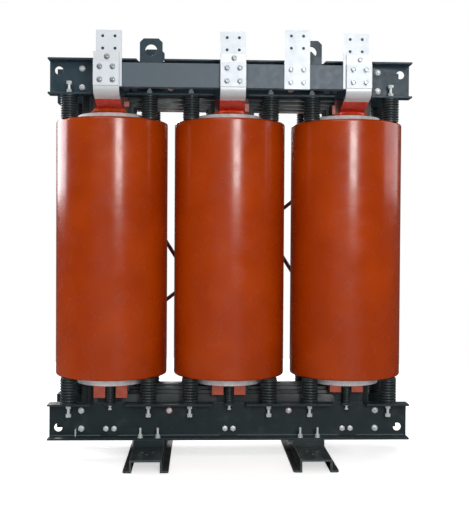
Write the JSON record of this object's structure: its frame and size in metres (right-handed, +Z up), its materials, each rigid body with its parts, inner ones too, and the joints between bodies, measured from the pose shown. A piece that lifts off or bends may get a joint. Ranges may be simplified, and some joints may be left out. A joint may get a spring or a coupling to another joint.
{
  "type": "dry type transformer",
  "caption": "Three-phase dry type power transformer: cast resin coils on a stepped core between channel clamps, on two skids, with flat low-voltage terminals above.",
  "frame": {"origin": "centre of the base, on the floor under the middle coil, midway between the skids and between their front and back ends", "axes": "+X along the row of coils to the right as seen from the low-voltage side, -Y towards the low-voltage terminals, +Y towards the high-voltage links, +Z up"},
  "size_m": [1.766, 0.92, 2.048],
  "materials": {
    "cast_resin": "satin orange-brown cast epoxy resin",
    "clamp_paint": "satin dark grey paint on welded steel",
    "skid_paint": "satin dark grey paint on bent steel",
    "core_steel": "dark varnish on stacked sheet steel",
    "winding_wrap": "pale grey glass-fibre and resin wrap",
    "lead_paint": "satin red insulating paint on aluminium bar",
    "terminal_metal": "satin bare aluminium bar",
    "beam_paint": "satin grey paint on steel channel",
    "board": "matt red-brown laminated board",
    "support_moulding": "satin black moulded resin",
    "red_moulding": "matt salmon red moulded resin",
    "link_sleeve": "glossy red-brown insulated rod"
  },
  "bodies": {
    "root": {"base_skid_left": "skid_paint", "base_skid_right": "skid_paint", "base_spacers": "skid_paint", "beam_bracket_left": "beam_paint", "beam_bracket_right": "beam_paint", "core_limb_left": "core_steel", "core_limb_middle": "core_steel", "core_limb_right": "core_steel", "core_yoke_lower": "core_steel", "core_yoke_upper": "core_steel", "delta_link_left": "link_sleeve", "delta_link_long": "link_sleeve", "delta_link_right": "link_sleeve", "hv_coil_a": "cast_resin", "hv_coil_b": "cast_resin", "hv_coil_c": "cast_resin", "lead_boards": "board", "lead_collars": "red_moulding", "lead_end_blocks": "red_moulding", "lifting_lug_back_left": "clamp_paint", "lifting_lug_back_right": "clamp_paint", "lifting_lug_front_left": "clamp_paint", "lifting_lug_front_right": "clamp_paint", "lower_clamp_back": "clamp_paint", "lower_clamp_front": "clamp_paint", "lower_coil_supports": "support_moulding", "lv_front_plate_a": "terminal_metal", "lv_front_plate_b": "terminal_metal", "lv_front_plate_c": "terminal_metal", "lv_lead_a": "lead_paint", "lv_lead_b": "lead_paint", "lv_lead_c": "lead_paint", "lv_terminal_a": "terminal_metal", "lv_terminal_b": "terminal_metal", "lv_terminal_c": "terminal_metal", "lv_winding_a": "winding_wrap", "lv_winding_b": "winding_wrap", "lv_winding_c": "winding_wrap", "neutral_terminal": "terminal_metal", "pull_plates": "core_steel", "tap_links": "terminal_metal", "terminal_beam": "beam_paint", "upper_clamp_back": "clamp_paint", "upper_clamp_front": "clamp_paint", "upper_coil_supports": "support_moulding", "winding_pads": "support_moulding", "yoke_boards_lower": "board", "yoke_boards_upper": "board"}
  },
  "joints": []
}
